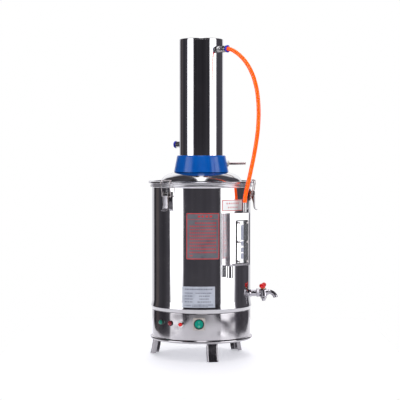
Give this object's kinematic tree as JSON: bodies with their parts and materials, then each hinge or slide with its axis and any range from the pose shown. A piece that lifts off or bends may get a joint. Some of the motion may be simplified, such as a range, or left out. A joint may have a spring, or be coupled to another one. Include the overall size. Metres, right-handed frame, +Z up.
{
  "type": "electric water distiller",
  "caption": "Upright electric water distiller: polished boiler on splayed legs, latched lid, tubular condenser, return hose, level box with sight window, drain tap and control skirt.",
  "frame": {"origin": "on the boiler axis, in the plane of the three leg soles", "axes": "+Z up along the boiler axis, -Y towards the front with the controls, +X to the right as seen from the front"},
  "size_m": [0.323, 0.2708, 0.7895],
  "materials": {
    "beige_plastic": "beige-grey moulding",
    "black_plastic": "black moulding",
    "black_rubber": "black sheet rubber",
    "blue_collar": "glossy blue moulding",
    "blue_ring": "blue moulded ring",
    "brass": "turned brass",
    "chromed_brass": "chromed valve casting",
    "clear_plate": "clear plate",
    "element_sheath": "dull tubular heater sheath",
    "green_lens": "dark green lens",
    "green_plastic": "green moulding",
    "orange_hose": "translucent orange tube",
    "pale_washer": "pale moulded seat",
    "panel_film": "pale printed film",
    "polished_steel": "mirror-polished stainless sheet",
    "red_lens": "dark red lens",
    "red_plastic": "red moulding",
    "satin_steel": "satin stainless pressing",
    "silicone": "silicone seal",
    "zinc_steel": "zinc-plated fastener"
  },
  "bodies": {
    "distiller": {"boiler_shell": "polished_steel", "base_skirt": "polished_steel", "base_plate": "satin_steel", "legs": "satin_steel", "leg_bolts": "zinc_steel", "heating_elements": "element_sheath", "element_nuts": "brass", "lid": "polished_steel", "lid_gasket": "silicone", "splash_baffle": "polished_steel", "condenser_jacket": "polished_steel", "condenser_cap": "polished_steel", "condenser_tubes": "polished_steel", "tube_plates": "polished_steel", "distillate_trough": "polished_steel", "drip_cap": "polished_steel", "collar": "blue_collar", "distillate_nozzle": "polished_steel", "nozzle_washer": "pale_washer", "inlet_fitting": "chromed_brass", "outlet_fitting": "chromed_brass", "return_hose": "orange_hose", "level_box": "polished_steel", "level_stub": "polished_steel", "overflow_pipe": "polished_steel", "sight_window": "clear_plate", "window_gasket": "black_rubber", "window_screws": "zinc_steel", "drain_stub": "polished_steel", "tap_body": "chromed_brass", "tap_spout": "chromed_brass", "latch_brackets": "satin_steel", "latch_pins": "zinc_steel", "lamp_bodies": "black_plastic", "lamp_nuts": "zinc_steel", "green_lens": "green_lens", "red_lens": "red_lens", "thermal_cutout": "black_plastic", "button_bezel": "chromed_brass", "switch_plate": "beige_plastic", "switch_body": "black_plastic", "contactor": "black_plastic", "terminal_block": "pale_washer", "wiring_loom": "black_rubber", "cable_gland": "black_plastic", "front_panels": "panel_film"},
    "lever_left_body": {"lever_left": "polished_steel"},
    "lever_right_body": {"lever_right": "polished_steel"},
    "lever_rear_body": {"lever_rear": "polished_steel"},
    "bail_left_body": {"bail_left": "polished_steel"},
    "bail_right_body": {"bail_right": "polished_steel"},
    "bail_rear_body": {"bail_rear": "polished_steel"},
    "tap_valve": {"tap_plug": "brass", "tap_handle": "red_plastic", "tap_nut": "chromed_brass"},
    "rocker": {"switch_rocker": "green_plastic"},
    "button": {"reset_button": "red_plastic"},
    "inlet_release": {"inlet_ring": "blue_ring"},
    "outlet_release": {"outlet_ring": "blue_ring"}
  },
  "joints": [
    {"name": "lever_left_hinge", "type": "hinge", "parent": "distiller", "child": "lever_left_body", "pos_m": [-0.08529, -0.09811, 0.4084], "axis": [-0.7547, 0.6561, 0], "range_deg": [0, 150]},
    {"name": "bail_left_hinge", "type": "hinge", "parent": "lever_left_body", "child": "bail_left_body", "pos_m": [-0.08468, -0.09741, 0.40033], "axis": [-0.7547, 0.6561, 0], "range_deg": [-285, 0]},
    {"name": "lever_right_hinge", "type": "hinge", "parent": "distiller", "child": "lever_right_body", "pos_m": [0.12802, -0.02257, 0.4084], "axis": [-0.1736, -0.9848, 0], "range_deg": [0, 150]},
    {"name": "bail_right_hinge", "type": "hinge", "parent": "lever_right_body", "child": "bail_right_body", "pos_m": [0.12711, -0.02241, 0.40033], "axis": [-0.1736, -0.9848, 0], "range_deg": [-285, 0]},
    {"name": "lever_rear_hinge", "type": "hinge", "parent": "distiller", "child": "lever_rear_body", "pos_m": [-0.04446, 0.12216, 0.4084], "axis": [0.9397, 0.342, 0], "range_deg": [0, 150]},
    {"name": "bail_rear_hinge", "type": "hinge", "parent": "lever_rear_body", "child": "bail_rear_body", "pos_m": [-0.04414, 0.12129, 0.40033], "axis": [0.9397, 0.342, 0], "range_deg": [-285, 0]},
    {"name": "tap_turn", "type": "hinge", "parent": "distiller", "child": "tap_valve", "pos_m": [0.15474, -0.01082, 0.15825], "axis": [-0.0696, 0.0049, 0.9976], "range_deg": [0, 90]},
    {"name": "rocker_tilt", "type": "hinge", "parent": "distiller", "child": "rocker", "pos_m": [-0.00567, -0.12487, 0.092], "axis": [0.999, -0.0454, 0], "range_deg": [-16, 0]},
    {"name": "reset_press", "type": "slide", "parent": "distiller", "child": "button", "axis": [0.4003, 0.9164, 0], "range_m": [0, 0.003], "stiffness_N_per_m": 400},
    {"name": "outlet_release_press", "type": "slide", "parent": "distiller", "child": "outlet_release", "axis": [-0.766, 0.6428, 0], "range_m": [0, 0.0016], "stiffness_N_per_m": 500},
    {"name": "inlet_release_press", "type": "slide", "parent": "distiller", "child": "inlet_release", "axis": [0.766, -0.6428, 0], "range_m": [0, 0.0016], "stiffness_N_per_m": 500}
  ],
  "couplings": [
    {"joint": "bail_left_hinge", "follows": "lever_left_hinge", "ratio": -1.9},
    {"joint": "bail_right_hinge", "follows": "lever_right_hinge", "ratio": -1.9},
    {"joint": "bail_rear_hinge", "follows": "lever_rear_hinge", "ratio": -1.9}
  ]
}
